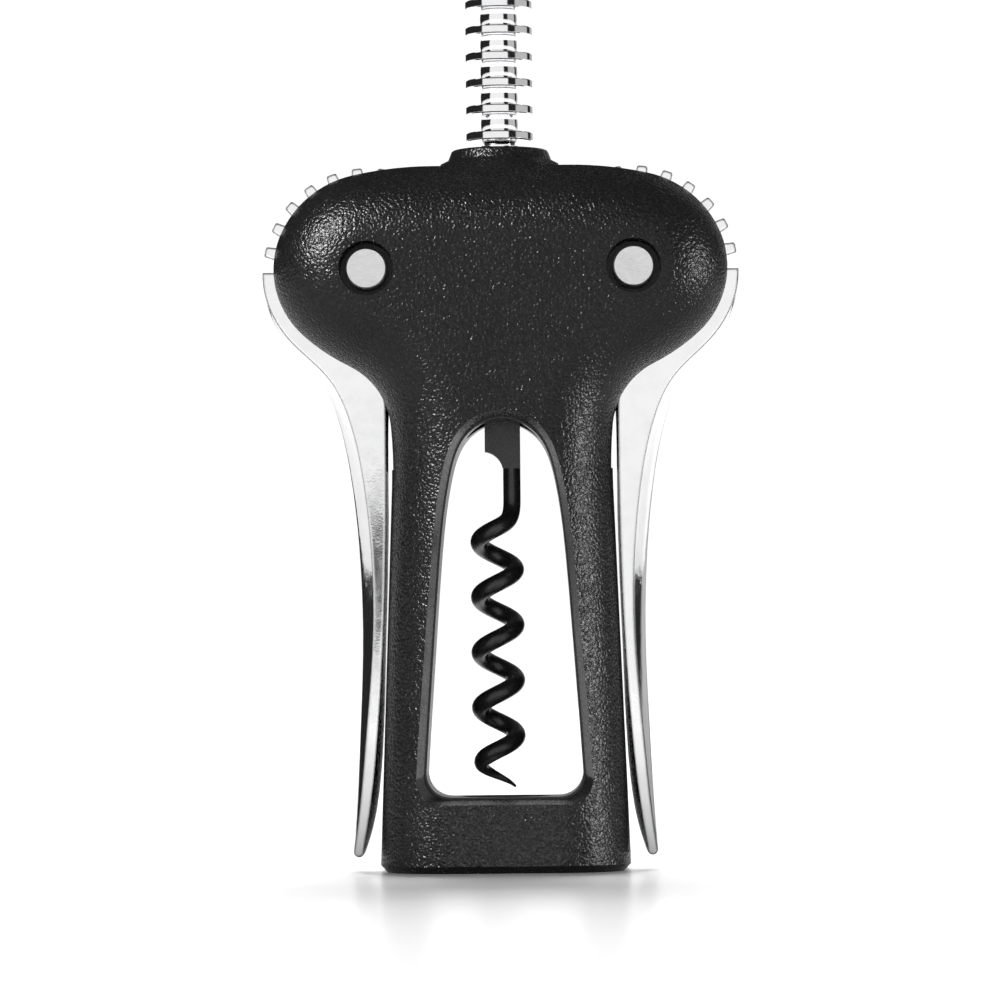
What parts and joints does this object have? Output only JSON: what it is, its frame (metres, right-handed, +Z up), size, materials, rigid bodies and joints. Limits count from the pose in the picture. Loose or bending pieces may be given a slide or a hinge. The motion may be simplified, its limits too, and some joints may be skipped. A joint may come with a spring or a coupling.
{
  "type": "lever corkscrew",
  "caption": "Winged corkscrew: a body with a window, two toothed levers that lift a round rack, and a helical worm turned by a top knob.",
  "frame": {"origin": "middle of the bottle end's ring, at the base plane", "axes": "+Z up along the bottle, rack and worm axis; -Y is the front face; the levers open to -X and +X"},
  "size_m": [0.0792, 0.0356, 0.1896],
  "materials": {
    "chassis_black": "black powder coat, satin",
    "cover_black": "fine moulded grain, matte",
    "guide_black": "smooth acetal",
    "rivet_steel": "brushed face",
    "washer_nylon": "natural nylon",
    "seat_black": "smooth",
    "screw_steel": "zinc plated",
    "lever_chrome": "polished chrome",
    "rack_chrome": "polished chrome",
    "worm_coating": "non-stick coating, semi-gloss",
    "knob_plastic": "satin",
    "knob_rubber": "soft touch",
    "knob_steel": "brushed"
  },
  "bodies": {
    "body": {"frame": "chassis_black", "front_cover": "cover_black", "rear_cover": "cover_black", "upper_guide": "guide_black", "lower_guide": "guide_black", "bottle_seat": "seat_black", "cover_screws": "screw_steel", "left_pivot_pin": "rivet_steel", "right_pivot_pin": "rivet_steel", "left_pivot_cap": "rivet_steel", "right_pivot_cap": "rivet_steel", "pivot_washers": "washer_nylon"},
    "left_lever": {"left_lever": "lever_chrome"},
    "right_lever": {"right_lever": "lever_chrome"},
    "carriage": {"rack_washer": "seat_black"},
    "screw": {"rack": "rack_chrome", "worm": "worm_coating", "worm_pin": "screw_steel", "knob_collar": "rack_chrome", "knob_core": "knob_plastic", "knob_grip": "knob_rubber", "knob_cap": "knob_steel", "knob_screw": "screw_steel"}
  },
  "joints": [
    {"name": "rack_slide", "type": "slide", "parent": "body", "child": "carriage", "axis": [0, 0, -1], "range_m": [0, 0.043]},
    {"name": "knob_spin", "type": "hinge", "parent": "carriage", "child": "screw", "pos_m": [0, 0, 0.17], "axis": [0, 0, 1], "continuous": true},
    {"name": "left_lever_swing", "type": "hinge", "parent": "body", "child": "left_lever", "pos_m": [-0.02195, 0, 0.0993], "axis": [0, 1, 0], "range_deg": [0, 141]},
    {"name": "right_lever_swing", "type": "hinge", "parent": "body", "child": "right_lever", "pos_m": [0.02195, 0, 0.0993], "axis": [0, -1, 0], "range_deg": [0, 141]}
  ],
  "couplings": [
    {"joint": "left_lever_swing", "follows": "rack_slide", "rad_per_m": 56.861},
    {"joint": "right_lever_swing", "follows": "rack_slide", "rad_per_m": 56.861}
  ]
}
